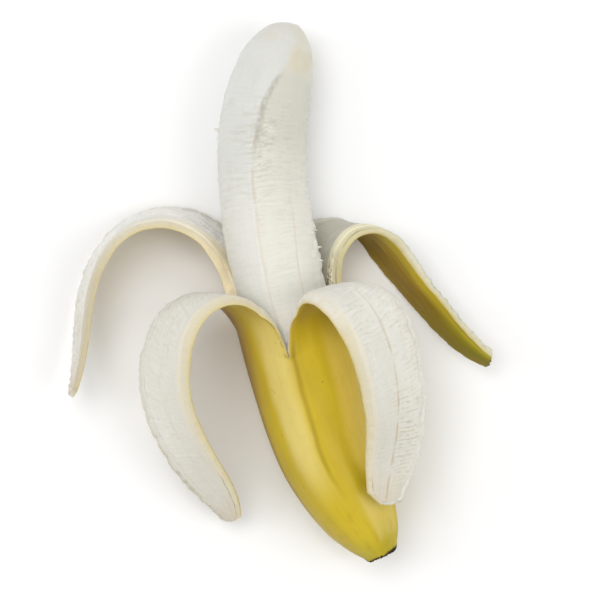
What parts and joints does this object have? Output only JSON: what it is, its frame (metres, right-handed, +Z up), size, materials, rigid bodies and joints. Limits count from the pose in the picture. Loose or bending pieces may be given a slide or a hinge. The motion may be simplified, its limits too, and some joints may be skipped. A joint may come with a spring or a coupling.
{
  "type": "peeled banana",
  "caption": "Half-peeled banana lying on its back, its pale curved fruit bare and the yellow peel folded back in long curling strips.",
  "frame": {"origin": "middle of the footprint, on the floor that the banana lies on", "axes": "+Y along the fruit from the closed blossom end towards the bare tip, +Z up from the floor, +X to the right of the fruit seen from above"},
  "size_m": [0.1496, 0.1892, 0.0591],
  "materials": {
    "peel": "waxy yellow skin outside, pale fibrous pith inside and at the torn edges",
    "flesh": "moist, creamy white, with fine cross lines and pale strings"
  },
  "bodies": {
    "root": {"peel": "peel", "flesh": "flesh"}
  },
  "joints": []
}
